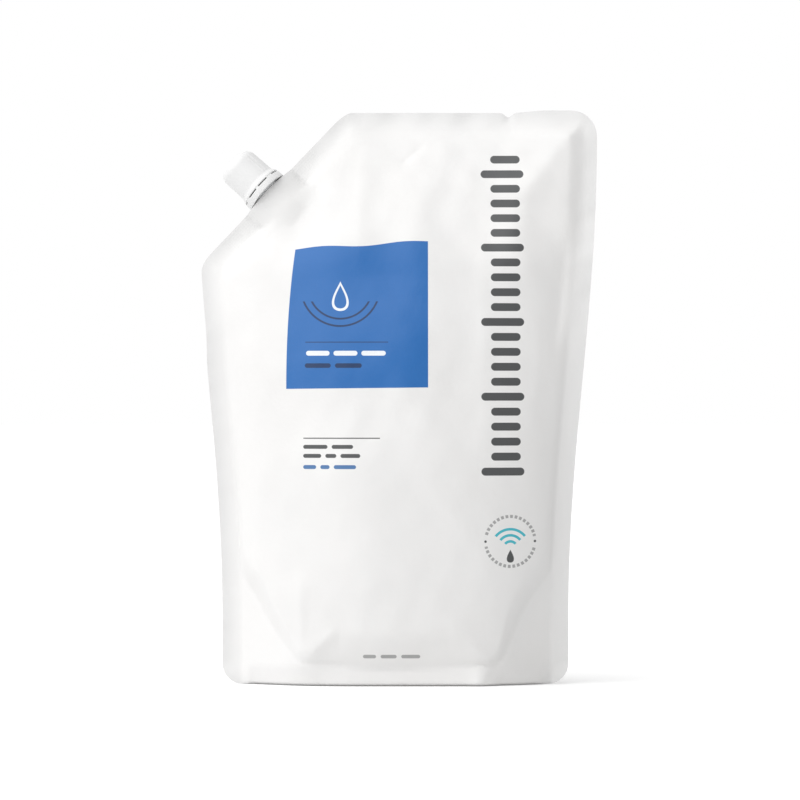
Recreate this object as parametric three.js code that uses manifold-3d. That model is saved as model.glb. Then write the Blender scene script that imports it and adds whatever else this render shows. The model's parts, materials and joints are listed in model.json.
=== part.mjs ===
// Stand-up refill pouch for liquid soap, with a screw-capped spout welded into its slanted corner.
// Millimetres. +Z is up, the front panel faces -Y, and the origin is the centre of the flat base.

import * as THREE from "three";
import * as BufferGeometryUtils from "three/addons/utils/BufferGeometryUtils.js";
import Module from "manifold-3d";

const wasm = await Module();
wasm.setup();

// ---- Driving dimensions of the pouch ----

const POUCH_HEIGHT = 275;
const BASE_HALF_WIDTH = 83; // the bulging base pulls the side seals in
const TOP_HALF_WIDTH = 97.4; // the flat head keeps the width of the film
const WIDENING = { from: 30, to: 270 }; // heights between which the sides spread
const SIDE_SEAL = 9; // width of the flat welded margin
const SEAL_THICKNESS = 1;
const BELLY_DEPTH = 70; // front to back
const BELLY_POWER = 1.12; // how fast the depth fades towards the head
const SKIRT_TUCK = { height: 45, share: 0.13 }; // the rim stands a little inside the belly
const BASE_CORNER = 10; // radius of the lower film corners
const HEAD_CORNER = 12.5; // radius of the upper film corner away from the spout
const SLANT = { low: [-91.3, 204], high: [-26.3, 273] };
const SHOULDER = { lowBlend: 3, highCorner: 6 }; // rounding where the slant meets the side and the top
const LEAN = { from: 160, to: 210, degrees: 14 }; // the empty head leans backwards

// ---- Driving dimensions of the closure, measured outwards from the slanted film edge ----

const SPOUT_SHARE = 0.461; // its place along the slant, from the low corner
const BOAT = { halfLength: 15, halfWidth: 6.2, foot: -10.2, top: 0.1 }; // weld base inside the seal
const WELD_RIB = { depth: 0.35, height: 1.4, pitch: 2.9, first: 0.7, count: 3 };
const FILM_OVER_BOAT = 1.2;
const RIDGE = { spread: 3, length: 38 }; // the film runs off the weld base as a ridge
const RIDGE_BLEND = 6;
const CLEARANCE = 0.3; // between pieces that touch
const NECK = { radius: 7.8, foot: 0, mouth: 20.2, mouthRadius: 7.4, mouthTaper: 1 };
const BORE = { baseRadius: 4.5, neckRadius: 6, stepFrom: -1, stepTo: 1.5, lipFrom: 19.4, lipRadius: 6.6 };
const BEAD = { radius: 9, low: 2.2, edge: 2.6, high: 3.3 }; // holds the tamper band down
const BAND = { inner: 10, outer: 11.4, low: 0.4, high: 3.4 };
const LUG = { inner: 8.5, root: 0.5, low: 0.8, high: 1.9, degrees: 20, count: 6 };
const BRIDGES = { inner: 10.2, outer: 11.1, root: 2.9, top: 3.9, repeats: 4 };
const BRIDGE_PAIR = [{ at: -18, degrees: 9 }, { at: 27, degrees: 18 }];
const CAP = { radius: 10, low: 4.2, top: 23.2, edgeRadius: 4 };
const FLARE = { radius: 11.2, straightTo: 4.8, waistRadius: 10.3, waistAt: 6, top: 6.8 }; // foot of the cap
const CAP_INSIDE = { radius: 8.9, roofRadius: 7.9, chamferFrom: 19.8, roof: 21.8 };
const GRIP_RIB = { at: [31, 43], width: 1, relief: 0.3, root: 0.4, low: 6.4, high: 19.4, repeats: 3 };
const DISC = { radius: 7.5, low: 20.5, high: 21.5 };

// ---- Fineness ----

const ROUND_SEGMENTS = 48;
const PANEL_COLUMNS = 24;
const BODY_ROW = 9; // greatest height of a row of the panels
const CORNER_ROWS = 4;
const EDGE_STEPS = 5; // along the rounded top edge of the cap
const MIN_MARGIN = 1; // narrowest margin where the outline closes in at the top
const CUT_PAST = 1; // how far a cut runs past the face that it opens

const rad = THREE.MathUtils.degToRad;
const { clamp, smoothstep, lerp } = THREE.MathUtils;

// ---- Solids ----

function toSolid(geometry) {
  const bare = geometry.index ? geometry.clone() : geometry;
  bare.deleteAttribute("normal");
  bare.deleteAttribute("uv");
  const merged = BufferGeometryUtils.mergeVertices(bare, 1e-4);
  return new wasm.Manifold(
    new wasm.Mesh({
      numProp: 3,
      vertProperties: new Float32Array(merged.attributes.position.array),
      triVerts: new Uint32Array(merged.index.array),
    }),
  );
}

function toGeometry(solid) {
  const mesh = solid.getMesh();
  const geometry = new THREE.BufferGeometry();
  geometry.setAttribute("position", new THREE.BufferAttribute(mesh.vertProperties, 3));
  geometry.setIndex(new THREE.BufferAttribute(mesh.triVerts, 1));
  geometry.computeVertexNormals();
  return geometry;
}

function turned(profile) {
  const points = profile.map(([radius, height]) => new THREE.Vector2(radius, height));
  return new THREE.LatheGeometry(points, ROUND_SEGMENTS).rotateX(Math.PI / 2);
}

function raised(shape, low, high, curveSegments = 8) {
  const options = { depth: high - low, bevelEnabled: false, curveSegments };
  return new THREE.ExtrudeGeometry(shape, options).translate(0, 0, low);
}

// A piece of a ring, centred on an angle that is counted from the front towards the right.
function ringPiece(inner, outer, degreesAt, degreesWide, low, high) {
  const middle = rad(degreesAt - 90);
  const half = rad(degreesWide / 2);
  const shape = new THREE.Shape();
  shape.absarc(0, 0, outer, middle - half, middle + half, false);
  shape.absarc(0, 0, inner, middle + half, middle - half, true);
  shape.closePath();
  return raised(shape, low, high, 4);
}

// ---- The flat outline of the pouch ----

function halfWidth(z) {
  const share = clamp((z - WIDENING.from) / (WIDENING.to - WIDENING.from), 0, 1);
  return lerp(BASE_HALF_WIDTH, TOP_HALF_WIDTH, (1 - Math.cos(Math.PI * share)) / 2);
}

const slantRun = SLANT.high[0] - SLANT.low[0];
const slantRise = SLANT.high[1] - SLANT.low[1];
const slantLength = Math.hypot(slantRun, slantRise);

function cornerPull(distance, radius) {
  const short = radius - clamp(distance, 0, radius);
  return radius - Math.sqrt(radius ** 2 - short ** 2);
}

// Edges of the film at a height, set in by a margin. Above its corner the slant takes over on the left.
function filmEdges(z, inset) {
  const side = halfWidth(z) - inset;
  const top = POUCH_HEIGHT - inset;
  const right = side - cornerPull(z, BASE_CORNER) - cornerPull(top - z, HEAD_CORNER - inset / 2);
  const onSlant = SLANT.low[0] + ((z - SLANT.low[1]) * slantRun) / slantRise;
  const slant = onSlant + (inset * slantLength) / slantRise;
  const straight = cornerPull(z, BASE_CORNER) - side;
  const left = softMax(straight, slant, SHOULDER.lowBlend);
  return { left: left + cornerPull(top - z, SHOULDER.highCorner) / 2, right };
}

function softMax(a, b, blend) {
  const overlap = Math.max(blend - Math.abs(a - b), 0) / blend;
  return Math.max(a, b) + (overlap ** 2 * blend) / 4;
}

// ---- The filled body ----

function centreDepth(z) {
  const tuck = SKIRT_TUCK.share * (1 - clamp(z / SKIRT_TUCK.height, 0, 1)) ** 2;
  const fade = 1 - clamp(z / (POUCH_HEIGHT - SIDE_SEAL), 0, 1) ** 2;
  return BELLY_DEPTH * fade ** BELLY_POWER * (1 - tuck);
}

const LEAN_SLOPE = Math.tan(rad(LEAN.degrees));

function leanBack(z) {
  const bent = clamp(z, LEAN.from, LEAN.to) - LEAN.from;
  const straight = Math.max(z - LEAN.to, 0);
  return LEAN_SLOPE * (bent ** 2 / (2 * (LEAN.to - LEAN.from)) + straight);
}

// Half the depth, set off square to the leaning middle plane.
function offPlane(x, z, side) {
  const slope = LEAN_SLOPE * clamp((z - LEAN.from) / (LEAN.to - LEAN.from), 0, 1);
  const offset = (side * depthAt(x, z)) / 2 / Math.hypot(1, slope);
  return new THREE.Vector3(x, leanBack(z) + offset, z - offset * slope);
}

// Frame of the closure: its own +Z leaves the film edge, +X runs up the slant and -Y faces the front.
function closureFrame() {
  const x = lerp(SLANT.low[0], SLANT.high[0], SPOUT_SHARE);
  const z = lerp(SLANT.low[1], SLANT.high[1], SPOUT_SHARE);
  const alongEdge = new THREE.Vector3(slantRun, slantRise * LEAN_SLOPE, slantRise).normalize();
  const backwards = new THREE.Vector3(0, 1, -LEAN_SLOPE).normalize();
  const outwards = new THREE.Vector3().crossVectors(alongEdge, backwards);
  const frame = new THREE.Matrix4().makeBasis(alongEdge, backwards, outwards);
  return frame.setPosition(x, leanBack(z), z);
}

const CLOSURE = closureFrame();

// The ridge in the film behind the weld base dies out in the panel.
function ridgeDepth(x, z) {
  const point = new THREE.Vector3(x, leanBack(z), z).applyMatrix4(CLOSURE.clone().invert());
  const across = clamp(Math.abs(point.x) / (BOAT.halfLength + RIDGE.spread), 0, 1);
  const fade = 1 - smoothstep(-point.z, -BOAT.foot, -BOAT.foot + RIDGE.length);
  return 2 * (BOAT.halfWidth + FILM_OVER_BOAT) * (1 - across ** 2) * fade;
}

function depthAt(x, z) {
  const inner = filmEdges(z, SIDE_SEAL);
  const chord = inner.right - inner.left;
  const across = clamp((2 * x - inner.left - inner.right) / chord, -1, 1);
  const fullChord = 2 * (halfWidth(z) - SIDE_SEAL);
  const belly = (centreDepth(z) * (1 - across ** 2) * chord) / fullChord;
  const level = softMax(0, 0, RIDGE_BLEND); // what the blend adds where there is neither
  return SEAL_THICKNESS + softMax(belly, ridgeDepth(x, z), RIDGE_BLEND) - level;
}

function rowHeights() {
  const rows = [];
  const quarter = Math.PI / 2;
  for (let i = 0; i < CORNER_ROWS; i++) {
    rows.push(BASE_CORNER * (1 - Math.cos((i * quarter) / CORNER_ROWS)));
  }
  const bodyTop = POUCH_HEIGHT - HEAD_CORNER;
  const count = Math.ceil((bodyTop - BASE_CORNER) / BODY_ROW);
  for (let i = 0; i < count; i++) rows.push(lerp(BASE_CORNER, bodyTop, i / count));
  for (let i = 0; i <= CORNER_ROWS; i++) {
    rows.push(bodyTop + HEAD_CORNER * Math.sin((i * quarter) / CORNER_ROWS));
  }
  return rows;
}

function panelRow(z, side) {
  const outer = filmEdges(z, 0);
  const inner = filmEdges(Math.min(z, POUCH_HEIGHT - 2 * SIDE_SEAL), SIDE_SEAL);
  const left = Math.max(inner.left, outer.left + MIN_MARGIN);
  const right = Math.min(inner.right, outer.right - MIN_MARGIN);
  const xs = [outer.left];
  for (let i = 0; i <= PANEL_COLUMNS; i++) xs.push(lerp(left, right, i / PANEL_COLUMNS));
  xs.push(outer.right);
  return xs.map((x) => offPlane(x, z, side));
}

function filledBody() {
  const heights = rowHeights();
  const front = heights.map((z) => panelRow(z, -1));
  const back = heights.map((z) => panelRow(z, 1));
  const positions = [];
  const quad = (a, b, c, d) => {
    for (const p of [a, b, c, a, c, d]) positions.push(p.x, p.y, p.z);
  };
  const last = front[0].length - 1;
  for (let row = 0; row < heights.length - 1; row++) {
    for (let i = 0; i < last; i++) {
      quad(front[row][i], front[row][i + 1], front[row + 1][i + 1], front[row + 1][i]);
      quad(back[row][i + 1], back[row][i], back[row + 1][i], back[row + 1][i + 1]);
    }
    quad(back[row][0], front[row][0], front[row + 1][0], back[row + 1][0]);
    quad(front[row][last], back[row][last], back[row + 1][last], front[row + 1][last]);
  }
  const head = heights.length - 1;
  for (let i = 0; i < last; i++) {
    quad(back[0][i], back[0][i + 1], front[0][i + 1], front[0][i]);
    quad(front[head][i], front[head][i + 1], back[head][i + 1], back[head][i]);
  }
  const geometry = new THREE.BufferGeometry();
  geometry.setAttribute("position", new THREE.Float32BufferAttribute(positions, 3));
  return geometry;
}

// ---- The weld base, pointed at both ends like a boat ----

function boatOutline(offset) {
  const length = BOAT.halfLength + offset;
  const width = BOAT.halfWidth + offset;
  const radius = (length ** 2 + width ** 2) / (2 * width);
  const half = Math.asin(length / radius);
  const shape = new THREE.Shape();
  shape.absarc(0, width - radius, radius, Math.PI / 2 - half, Math.PI / 2 + half, false);
  shape.absarc(0, radius - width, radius, -Math.PI / 2 - half, -Math.PI / 2 + half, false);
  shape.closePath();
  return shape;
}

function boat(offset, low, high) {
  return toSolid(raised(boatOutline(offset), low, high, 10));
}

// ---- The pieces ----

function pouchGeometry() {
  const bottom = BOAT.foot - CLEARANCE;
  const sleeve = boat(FILM_OVER_BOAT, bottom - FILM_OVER_BOAT, NECK.foot - CLEARANCE);
  const pocket = boat(CLEARANCE, bottom, BOAT.top + CUT_PAST);
  const sealed = toSolid(filledBody()).add(sleeve.transform(CLOSURE.elements));
  return toGeometry(sealed.subtract(pocket.transform(CLOSURE.elements)));
}

function spoutGeometry() {
  let solid = boat(-WELD_RIB.depth, BOAT.foot, BOAT.top);
  for (let i = 0; i < WELD_RIB.count; i++) {
    const low = BOAT.foot + WELD_RIB.first + i * WELD_RIB.pitch;
    solid = solid.add(boat(0, low, low + WELD_RIB.height));
  }
  const neck = turned([
    [0, NECK.foot],
    [NECK.radius, NECK.foot],
    [NECK.radius, BEAD.low],
    [BEAD.radius, BEAD.low],
    [BEAD.radius, BEAD.edge],
    [NECK.radius, BEAD.high],
    [NECK.radius, NECK.mouth - NECK.mouthTaper],
    [NECK.mouthRadius, NECK.mouth],
    [0, NECK.mouth],
  ]);
  const bore = turned([
    [0, BOAT.foot - CUT_PAST],
    [BORE.baseRadius, BOAT.foot - CUT_PAST],
    [BORE.baseRadius, BORE.stepFrom],
    [BORE.neckRadius, BORE.stepTo],
    [BORE.neckRadius, BORE.lipFrom],
    [BORE.lipRadius, NECK.mouth],
    [BORE.lipRadius, NECK.mouth + CUT_PAST],
    [0, NECK.mouth + CUT_PAST],
  ]);
  return toGeometry(solid.add(toSolid(neck)).subtract(toSolid(bore)));
}

function tamperBandGeometry() {
  let solid = toSolid(
    turned([
      [BAND.inner, BAND.low],
      [BAND.outer, BAND.low],
      [BAND.outer, BAND.high],
      [BAND.inner, BAND.high],
      [BAND.inner, BAND.low],
    ]),
  );
  const { inner, outer, root, top } = BRIDGES;
  for (let i = 0; i < BRIDGES.repeats; i++) {
    const turn = (i * 360) / BRIDGES.repeats;
    for (const { at, degrees } of BRIDGE_PAIR) {
      solid = solid.add(toSolid(ringPiece(inner, outer, at + turn, degrees, root, top)));
    }
  }
  for (let i = 0; i < LUG.count; i++) {
    const turn = (i * 360) / LUG.count;
    const lug = ringPiece(LUG.inner, BAND.inner + LUG.root, turn, LUG.degrees, LUG.low, LUG.high);
    solid = solid.add(toSolid(lug));
  }
  return toGeometry(solid);
}

function sealingDiscGeometry() {
  return turned([
    [0, DISC.low],
    [DISC.radius, DISC.low],
    [DISC.radius, DISC.high],
    [0, DISC.high],
  ]);
}

function screwCapGeometry() {
  const edge = [];
  for (let i = 0; i <= EDGE_STEPS; i++) {
    const angle = (i * Math.PI) / 2 / EDGE_STEPS;
    const inwards = CAP.edgeRadius * (1 - Math.cos(angle));
    edge.push([CAP.radius - inwards, CAP.top - CAP.edgeRadius * (1 - Math.sin(angle))]);
  }
  let solid = toSolid(
    turned([
      [CAP_INSIDE.radius, CAP.low],
      [FLARE.radius, CAP.low],
      [FLARE.radius, FLARE.straightTo],
      [FLARE.waistRadius, FLARE.waistAt],
      [CAP.radius, FLARE.top],
      ...edge,
      [0, CAP.top],
      [0, CAP_INSIDE.roof],
      [CAP_INSIDE.roofRadius, CAP_INSIDE.roof],
      [CAP_INSIDE.radius, CAP_INSIDE.chamferFrom],
      [CAP_INSIDE.radius, CAP.low],
    ]),
  );
  const degreesWide = THREE.MathUtils.radToDeg(GRIP_RIB.width / CAP.radius);
  const inner = CAP.radius - GRIP_RIB.root;
  const outer = CAP.radius + GRIP_RIB.relief;
  for (let i = 0; i < GRIP_RIB.repeats; i++) {
    for (const at of GRIP_RIB.at) {
      const turn = at + (i * 360) / GRIP_RIB.repeats;
      solid = solid.add(toSolid(ringPiece(inner, outer, turn, degreesWide, GRIP_RIB.low, GRIP_RIB.high)));
    }
  }
  return toGeometry(solid);
}

// ---- Materials ----

const whiteFilm = new THREE.MeshStandardMaterial({ color: 0xf1f0ef, roughness: 0.42, metalness: 0 });
const capPlastic = new THREE.MeshStandardMaterial({ color: 0xf4f4f4, roughness: 0.35, metalness: 0 });
const spoutPlastic = new THREE.MeshStandardMaterial({ color: 0xe9eaea, roughness: 0.4, metalness: 0 });
const discFoam = new THREE.MeshStandardMaterial({ color: 0xdfe3e4, roughness: 0.7, metalness: 0 });

function piece(name, geometry, material) {
  const mesh = new THREE.Mesh(geometry, material);
  mesh.name = name;
  return mesh;
}

const group = new THREE.Group();
group.add(piece("pouch", pouchGeometry(), whiteFilm));

const closure = new THREE.Group();
closure.applyMatrix4(CLOSURE);
closure.add(piece("spout", spoutGeometry(), spoutPlastic));
closure.add(piece("tamper_band", tamperBandGeometry(), capPlastic));
closure.add(piece("sealing_disc", sealingDiscGeometry(), discFoam));
closure.add(piece("screw_cap", screwCapGeometry(), capPlastic));
group.add(closure);

export default group;
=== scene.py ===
"""Stand-up refill pouch for liquid soap: welded film, spout, tamper band, sealing disc and screw cap.

The film is worked out in millimetres across (x) and up (z). The closure is worked out in a frame of
its own, with +Z out of the slanted film edge, and put in place at the end.
"""

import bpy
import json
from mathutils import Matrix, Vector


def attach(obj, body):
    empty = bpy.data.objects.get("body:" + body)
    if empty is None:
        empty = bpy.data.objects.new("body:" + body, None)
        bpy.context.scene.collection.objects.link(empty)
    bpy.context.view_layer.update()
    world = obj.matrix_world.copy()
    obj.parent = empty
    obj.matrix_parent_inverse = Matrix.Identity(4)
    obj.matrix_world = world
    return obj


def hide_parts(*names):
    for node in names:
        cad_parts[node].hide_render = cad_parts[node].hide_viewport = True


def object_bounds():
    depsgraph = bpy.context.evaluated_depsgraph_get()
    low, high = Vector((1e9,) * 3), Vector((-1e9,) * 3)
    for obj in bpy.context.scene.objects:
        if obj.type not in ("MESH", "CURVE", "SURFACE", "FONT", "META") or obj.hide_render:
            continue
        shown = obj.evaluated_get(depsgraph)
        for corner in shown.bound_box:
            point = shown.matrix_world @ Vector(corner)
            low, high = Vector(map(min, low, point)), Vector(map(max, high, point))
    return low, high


bl_info = {
    "name": "Refill Pouch",
    "version": (1, 0, 0),
    "blender": (4, 5, 0),
    "location": "View3D > Sidebar > Pouch",
    "description": "Stand-up film pouch with a screw-capped spout in its corner",
    "category": "Add Mesh",
}

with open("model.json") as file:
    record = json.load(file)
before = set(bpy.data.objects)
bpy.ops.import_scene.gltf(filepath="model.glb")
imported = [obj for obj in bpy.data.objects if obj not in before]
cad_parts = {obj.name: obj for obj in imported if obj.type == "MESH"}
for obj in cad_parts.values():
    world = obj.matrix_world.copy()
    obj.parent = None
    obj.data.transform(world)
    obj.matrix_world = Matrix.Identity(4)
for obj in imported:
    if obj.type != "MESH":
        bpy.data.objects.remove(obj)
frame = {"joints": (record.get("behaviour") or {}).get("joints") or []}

import json
import math

import bmesh
import bpy
import numpy as np
from bpy.props import BoolProperty, FloatProperty, FloatVectorProperty, IntProperty, PointerProperty
from mathutils import Matrix, Vector

CAD_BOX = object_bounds()

MM = 0.001
TURN = next(joint for joint in frame["joints"] if joint["name"] == "cap_turn")
RISE = next(joint for joint in frame["joints"] if joint["name"] == "cap_rise")
SEAT = Vector(TURN["pos_m"]) / MM
PITCH = RISE["range_m"][1] / MM / (TURN["range_deg"][1] / 360)


def closure_matrix():
    """The frame of the closure: +Z out of the film edge, +X up the slant, +Y to the back."""
    outwards = Vector(TURN["axis"]).normalized()
    backwards = Vector((0, outwards.z, -outwards.y)).normalized()
    along = backwards.cross(outwards)
    matrix = Matrix((along, backwards, outwards)).transposed().to_4x4()
    matrix.translation = Vector(TURN["pos_m"])
    return matrix


CLOSURE = closure_matrix()
ALONG_SLANT = Vector((CLOSURE.col[0].x, CLOSURE.col[0].z)).normalized()  # up the slanted edge, in (x, z)
LEAN_SLOPE = CLOSURE.col[2].y / CLOSURE.col[2].z  # how far the head leans back for each millimetre up


# ---------------------------------------------------------------- Sizes and colours a user would change


def length(name, text, value):
    """A size given in millimetres and kept in scene units."""
    return FloatProperty(name=name, description=text, default=value * MM, unit="LENGTH", precision=4)


def colour(name, text, value):
    return FloatVectorProperty(name=name, description=text, default=value, subtype="COLOR", min=0, max=1)


class FilmSettings(bpy.types.PropertyGroup):
    seal: length("Seal width", "Flat welded margin at the sides and the top", 9)
    film: length("Film", "Thickness of one layer of film", 0.2)
    base_half: length("Half base", "Half the width across the base", 83)
    head_half: length("Half head", "Half the width across the head", 97.4)
    belly: length("Belly", "Depth of the filled body before it slackens, front to back", 75)
    rim: length("Rim", "Depth across the standing rim, front to back", 50)
    crumple: FloatProperty(name="Crumple", description="Strength of the soft dents", default=1, min=0)
    creases: FloatProperty(name="Creases", description="Strength of the creases", default=1, min=0)
    printed: BoolProperty(name="Printed", description="Print the front panel", default=True)
    white: colour("Film white", "Colour of the unprinted film", (0.845, 0.842, 0.838))
    field: colour("Field", "Colour of the large printed field", (0.022, 0.15, 0.45))
    navy: colour("Navy", "Colour of the fine marks on the field", (0.012, 0.04, 0.12))
    pale: colour("Pale", "Colour of the light marks on the field", (0.84, 0.87, 0.9))
    blue: colour("Blue", "Colour of the small blue bars", (0.08, 0.19, 0.4))
    grey: colour("Grey", "Colour of the grey marks", (0.085, 0.088, 0.09))
    teal: colour("Teal", "Colour of the ripples in the round mark", (0.065, 0.48, 0.57))


class ClosureSettings(bpy.types.PropertyGroup):
    cap_radius: length("Cap radius", "Radius of the grip of the cap", 10)
    skirt_radius: length("Skirt radius", "Radius of the flared lower edge of the cap", 11.2)
    edge_radius: length("Edge radius", "Rounding of the top edge of the cap", 4.8)
    rib_width: length("Rib width", "Width of one grip rib", 1.1)
    rib_relief: length("Rib relief", "Height of a grip rib above the cap", 0.3)
    rib_pairs: IntProperty(name="Rib pairs", description="Pairs of grip ribs round the cap", default=3, min=1)
    bridges: IntProperty(name="Bridges", description="Bridges of each width round the band", default=4, min=1)
    lugs: IntProperty(name="Lugs", description="Lugs that hold the band under the bead", default=6, min=1)
    ridge: length("Thread ridge", "Radius of the round ridge of the thread", 0.62)
    plastic: colour("Cap plastic", "Colour of the cap and the band", (0.84, 0.84, 0.84))
    natural: colour("Spout plastic", "Colour of the spout", (0.74, 0.75, 0.755))
    foam: colour("Foam", "Colour of the sealing disc", (0.55, 0.6, 0.62))


class StageSettings(bpy.types.PropertyGroup):
    floor: colour("Floor", "Colour of the floor", (0.95, 0.95, 0.95))
    glow: FloatProperty(name="Glow", description="How far the floor's shadows are lifted",
                        default=0.09, min=0)
    bounce: FloatProperty(name="Bounce", description="Share of the floor's light that reaches the pouch",
                          default=0.8, min=0, max=1)
    distance: length("Distance", "From the camera to the pouch", 3000)
    height: length("Camera height", "Height of the camera and of the point it looks at", 136.3)
    offset: length("Camera offset", "Shift of the camera to the right", 2.2)
    across: length("Frame", "Width of the picture at the pouch", 384)
    key: FloatProperty(name="Key", description="Strength of the soft key light", default=1.6, min=0)
    fill: FloatProperty(name="Fill", description="Strength of the light from all round", default=1.18, min=0)


# ---------------------------------------------------------------- Node helpers


class Socket:
    """An output of a node. Arithmetic on it adds the Math nodes that work it out."""

    def __init__(self, tree, socket):
        self.tree = tree
        self.socket = socket

    def math(self, operation, *values, clamp=False):
        return self.tree.math(operation, self, *values, clamp=clamp)

    def __add__(self, other):
        return self.math("ADD", other)

    __radd__ = __add__

    def __sub__(self, other):
        return self.math("SUBTRACT", other)

    def __rsub__(self, other):
        return self.tree.math("SUBTRACT", other, self)

    def __mul__(self, other):
        return self.math("MULTIPLY", other)

    __rmul__ = __mul__

    def __truediv__(self, other):
        return self.math("DIVIDE", other)

    def __pow__(self, other):
        return self.math("POWER", other)

    def __abs__(self):
        return self.math("ABSOLUTE")

    def sine(self):
        return self.math("SINE")

    def at_least(self, other):
        return self.math("MAXIMUM", other)

    def at_most(self, other):
        return self.math("MINIMUM", other)

    def inside(self, soft):
        """1 where this distance is positive and 0 where it is negative, with a soft edge between."""
        return self.math("MULTIPLY_ADD", 1 / soft, 0.5, clamp=True)


class Tree:
    """Adds nodes to one node tree."""

    def __init__(self, tree):
        self.tree = tree
        self.tree.nodes.clear()

    def add(self, kind, settings=None, inputs=None, output=0):
        node = self.tree.nodes.new(kind)
        for name, value in (settings or {}).items():
            setattr(node, name, value)
        for name, value in (inputs or {}).items():
            if isinstance(value, Socket):
                self.tree.links.new(value.socket, node.inputs[name])
            else:
                node.inputs[name].default_value = value
        return Socket(self, node.outputs[output]) if len(node.outputs) else None

    def math(self, operation, *values, clamp=False):
        settings = {"operation": operation, "use_clamp": clamp}
        return self.add("ShaderNodeMath", settings, dict(enumerate(values)))

    def mix(self, factor, first, second):
        """The first colour where factor is 0, and the second where it is 1."""
        values = {0: factor, 6: as_rgba(first), 7: as_rgba(second)}
        return self.add("ShaderNodeMix", {"data_type": "RGBA"}, values, output=2)

    def noise(self, vector, scale, detail=3.0, roughness=0.5):
        values = {"Vector": vector, "Scale": scale, "Detail": detail, "Roughness": roughness}
        return self.add("ShaderNodeTexNoise", None, values)

    def attribute(self, name):
        return self.add("ShaderNodeAttribute", {"attribute_name": name}, None, output="Fac")

    def place(self):
        """Object coordinates, as a vector in metres."""
        return self.add("ShaderNodeTexCoord", None, None, output="Object")

    def parts(self, vector):
        """The three numbers of a vector."""
        first = self.add("ShaderNodeSeparateXYZ", None, {"Vector": vector})
        return [Socket(self, output) for output in first.socket.node.outputs]


def as_rgba(value):
    return value if isinstance(value, Socket) else (*value, 1)


def new_material(name):
    material = bpy.data.materials.new(name)
    material.use_nodes = True
    return material, Tree(material.node_tree)


def finish_material(tree, base, roughness, height, depth, **constants):
    """Ends a material in a Principled shader with a bump that is depth deep, in metres."""
    values = {"Base Color": as_rgba(base), "Roughness": roughness}
    values["Normal"] = tree.add("ShaderNodeBump", None, {"Height": height, "Distance": depth})
    values.update({name.replace("_", " "): value for name, value in constants.items()})
    shader = tree.add("ShaderNodeBsdfPrincipled", None, values)
    tree.add("ShaderNodeOutputMaterial", None, {"Surface": shader})


# ---------------------------------------------------------------- Print, in millimetres across and up

SOFT = 0.16  # softness of a printed edge
KNURL = 2 * math.pi / 2.4  # turn of the knurl's waves in each millimetre

# The large field: its sides, its level edges, and how far each of them strays.
FIELD_LEFT, FIELD_RIGHT, FIELD_FOOT, FIELD_TOP = -52.1, 15.6, 141.9, 208.7
FIELD_BOW, FIELD_WAVE = 4.2, 0.6

# A row of bars is (left, height, lengths, thickness, gap).
PALE_ROW = (-42.6, 158.6, (11.2, 11.4, 11.6), 2.3, 1.9)
NAVY_ROW = (-43.2, 152.7, (12.4, 12.8), 2.2, 2.0)
GREY_ROWS = ((-43.9, 114.0, (11.6, 10.2), 1.9, 2.0), (-43.9, 109.7, (8.6, 5.2, 9.4), 1.9, 2.0))
BLUE_ROW = (-43.9, 104.4, (6.2, 4.4, 10.6), 1.9, 2.0)
FOOT_ROW = (-15.4, 14.3, (6.2, 7.6, 9.0), 1.7, 2.2)

# A rule is (middle, height, half length, half thickness).
FIELD_RULE = (-23.2, 163.9, 19.8, 0.2)
PANEL_RULE = (-25.6, 118.1, 18.3, 0.26)

# A drop is (middle, foot, height, width). Two of them draw the outlined one.
FIELD_DROPS = ((-26.3, 178.8, 14.4, 8.2), (-26.3, 180.0, 11.4, 6.0))
MARK_DROP = (54.8, 58.8, 6.4, 3.6)

# Two strokes cupped under the outlined drop: their middle, the height they end at, their radii and line.
CUP_ACROSS, CUP_UP, CUP_END, CUP_RADII, CUP_LINE = -26.3, 190.5, 183.4, (15.4, 18.9), 0.9

# The column of bars: its pitch, its two ends and its line; then half the length of a bar, what every
# fifth has on top, half the thickness, and how far left of the line a bar lies, as a share of its half.
SCALE_PITCH, SCALE_LOW, SCALE_HIGH, SCALE_ACROSS = 7.14, 98.6, 255.7, 56.0
SCALE_HALF, SCALE_LONGER, SCALE_THICK, SCALE_SKEW = 7.1, 3.2, 1.9, 0.46

# The round mark: its middle, its dashed circle, and the ripples over a point below its middle.
MARK_ACROSS, MARK_UP, MARK_RADIUS, MARK_LINE, MARK_DASHES = 54.8, 68.9, 11.9, 1.5, 34.0
MARK_GAP, MARK_DOT = 0.2, 0.6
RIPPLES_BELOW, RIPPLE_RADII, RIPPLE_LINE, RIPPLE_SPREAD = 3.2, (3.2, 6.1, 9.0), 1.25, 0.8

# The knurl: how far it reaches each way from the spout, and in from the edge of the film.
KNURL_START, KNURL_END, KNURL_OUTER, KNURL_INNER = 12.0, 32.0, 1.0, 9.0

FOOT_INK, DASH_INK = 0.62, 0.6  # how dark the foot row and the dashes are beside the other grey marks
WARM_TINT = (0.985, 0.977, 0.968)  # of the clouds in the white
MARGIN_PAINTED_SHADE = 0.92  # painted shade of the margins, darkest at the outer edge of the film


def bar(across, up, centre, height, half_length, half_thick):
    """A round-ended bar that lies level."""
    past = (abs(across - centre) - (half_length - half_thick)).at_least(0.0)
    rise = up - height
    return (half_thick - (past * past + rise * rise) ** 0.5).inside(SOFT)


def bars(across, up, left, height, lengths, thick, gap):
    """A row of level bars with equal gaps."""
    mask = 0.0
    for one in lengths:
        mask = bar(across, up, left + one / 2, height, one / 2, thick / 2).at_least(mask)
        left += one + gap
    return mask


def drop(across, up, centre, foot, tall, wide):
    """A drop: round at its foot, and drawn to a point at its top."""
    share = ((up - foot) / tall).at_least(0.0).at_most(1.0)
    swell = share ** 0.45 * (1 - share) ** 1.2 * (wide * 1.316)
    return (swell - abs(across - centre) - SOFT / 2).inside(SOFT)


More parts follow.
